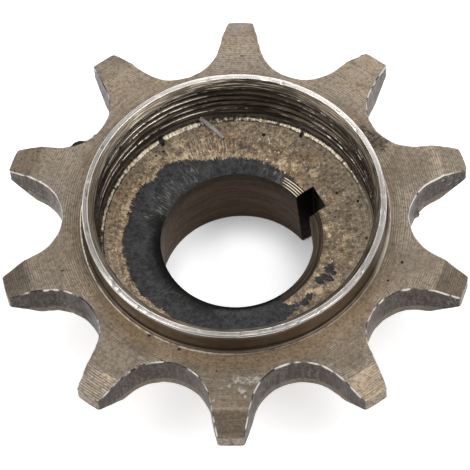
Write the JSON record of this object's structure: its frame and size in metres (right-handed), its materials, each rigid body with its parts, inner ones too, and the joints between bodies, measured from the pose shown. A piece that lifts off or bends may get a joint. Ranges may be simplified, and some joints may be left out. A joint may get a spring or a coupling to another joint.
{
  "type": "chain sprocket",
  "caption": "Small one-piece roller chain sprocket with round-seated teeth, a raised collar round a threaded recess, and a keyed taper bore in a short hub.",
  "frame": {"origin": "middle of the hub's seating face, on the axis of the bore", "axes": "+Z along the bore axis, out of the recess; +X through the middle of a tooth gap; +Y through the middle of a tooth"},
  "size_m": [0.0446, 0.046, 0.0163],
  "materials": {
    "forged_steel": "turned steel with a thin brown film, dark forging skin left beside the bore"
  },
  "bodies": {
    "root": {"sprocket": "forged_steel"}
  },
  "joints": []
}
